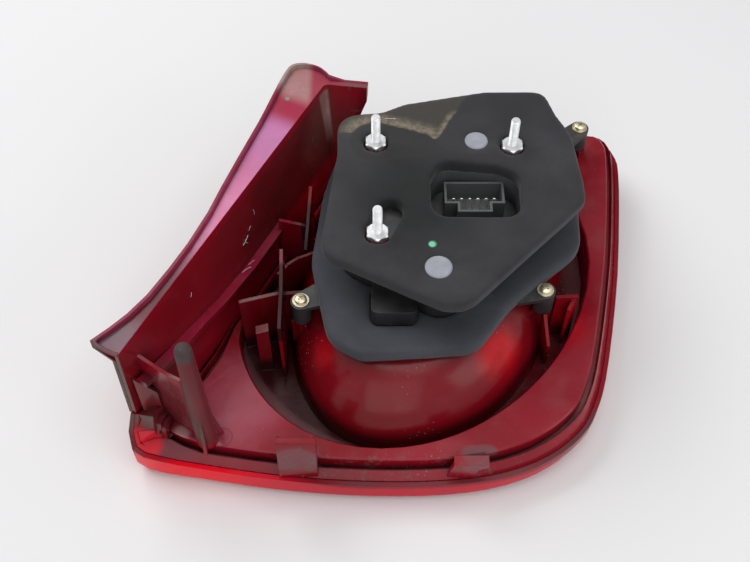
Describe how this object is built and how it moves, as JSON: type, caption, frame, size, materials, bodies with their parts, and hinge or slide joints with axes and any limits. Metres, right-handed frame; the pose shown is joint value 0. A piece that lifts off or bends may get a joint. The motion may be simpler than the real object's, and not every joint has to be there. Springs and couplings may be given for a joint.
{
  "type": "tail light cluster",
  "caption": "Rear lamp cluster for a small car, seen from its mounting side, with red lens, dark housing, clip-in bulb holder, foam seals and mounting studs",
  "frame": {"origin": "middle of the flat patch of the lens face that the lamp rests on", "axes": "+Z runs from the lens face to the mounting studs, +X is the picture's right, +Y is away from the camera"},
  "size_m": [0.3384, 0.283, 0.138],
  "materials": {
    "red_lens": "clear red acrylic, light scratches and road grime at the rim",
    "dark_red_plastic": "moulded plastic over the red lens, worn, with dust and lint",
    "metallised_plastic": "metallised reflector bowls",
    "black_plastic": "moulded, slightly dusty",
    "contact_brass": "tinned and stamped",
    "clear_bulb": "clear glass with a nickel cap",
    "amber_bulb": "amber glass with a nickel cap",
    "grey_foam": "closed-cell foam, matt, bluish grey",
    "black_foam": "closed-cell foam, matt, dusty on top",
    "grey_plastic": "moulded, smooth",
    "zinc_steel": "zinc plated, threads bright",
    "yellow_zinc": "yellow passivated zinc, dull"
  },
  "bodies": {
    "root": {"outer_lens": "red_lens", "housing": "dark_red_plastic", "reflector": "metallised_plastic", "bulb_holder": "black_plastic", "ground_contact": "contact_brass", "brake_contact": "contact_brass", "tail_contact": "contact_brass", "indicator_contact": "contact_brass", "reverse_contact": "contact_brass", "fog_contact": "contact_brass", "brake_tail_bulb": "clear_bulb", "indicator_bulb": "amber_bulb", "reverse_bulb": "clear_bulb", "fog_bulb": "clear_bulb", "lower_seal": "grey_foam", "upper_seal": "black_foam", "seal_button_lower": "grey_plastic", "seal_button_upper": "grey_plastic", "stud_lower": "zinc_steel", "stud_upper_left": "zinc_steel", "stud_upper_right": "zinc_steel", "washer_left": "yellow_zinc", "washer_lower_right": "yellow_zinc", "washer_upper_right": "yellow_zinc", "screw_left": "yellow_zinc", "screw_lower_right": "yellow_zinc", "screw_upper_right": "yellow_zinc"}
  },
  "joints": []
}
